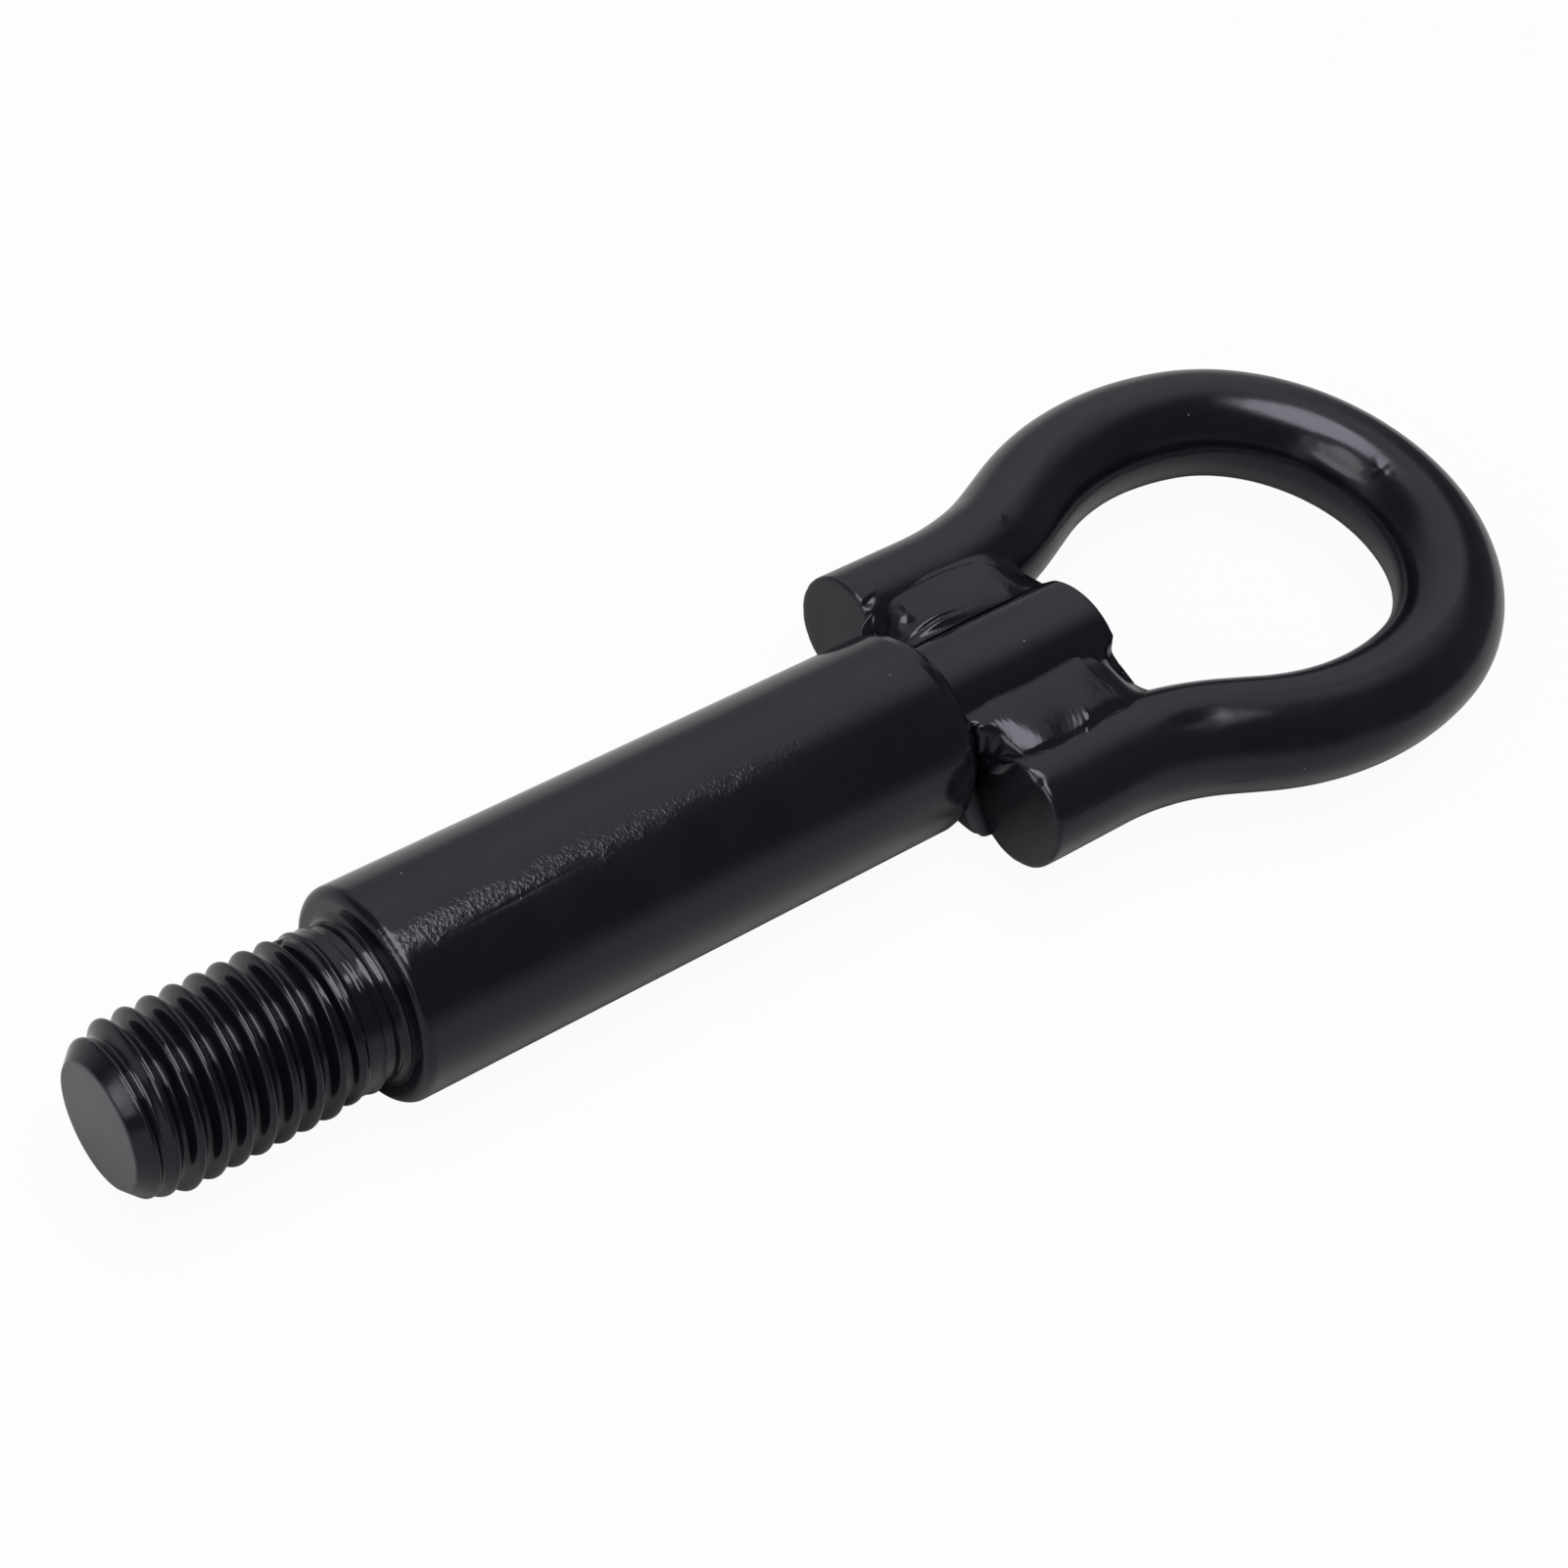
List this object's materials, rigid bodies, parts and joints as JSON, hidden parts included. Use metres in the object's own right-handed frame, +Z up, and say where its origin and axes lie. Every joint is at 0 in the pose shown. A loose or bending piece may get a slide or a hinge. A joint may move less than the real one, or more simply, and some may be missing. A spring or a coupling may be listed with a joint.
{
  "type": "tow eye",
  "caption": "Screw-in vehicle tow eye: turned shank with a left-hand threaded stud and a shoulder, with an eye bent from round bar welded along its spigot, painted black.",
  "frame": {"origin": "middle of the overall length and width, at the level that the shank's body rests on", "axes": "+X along the shank from the threaded point to the tip of the eye, +Y across the flat eye, +Z up out of the eye's plane"},
  "size_m": [0.178, 0.0582, 0.0222],
  "materials": {
    "shank_paint": "satin to gloss black paint, orange peel along one side",
    "eye_paint": "satin to gloss black paint",
    "weld_paint": "gloss black paint over rippled weld"
  },
  "bodies": {
    "root": {"shank": "shank_paint", "eye_bar": "eye_paint", "weld_top_left": "weld_paint", "weld_top_right": "weld_paint", "weld_under_left": "weld_paint", "weld_under_right": "weld_paint"}
  },
  "joints": []
}
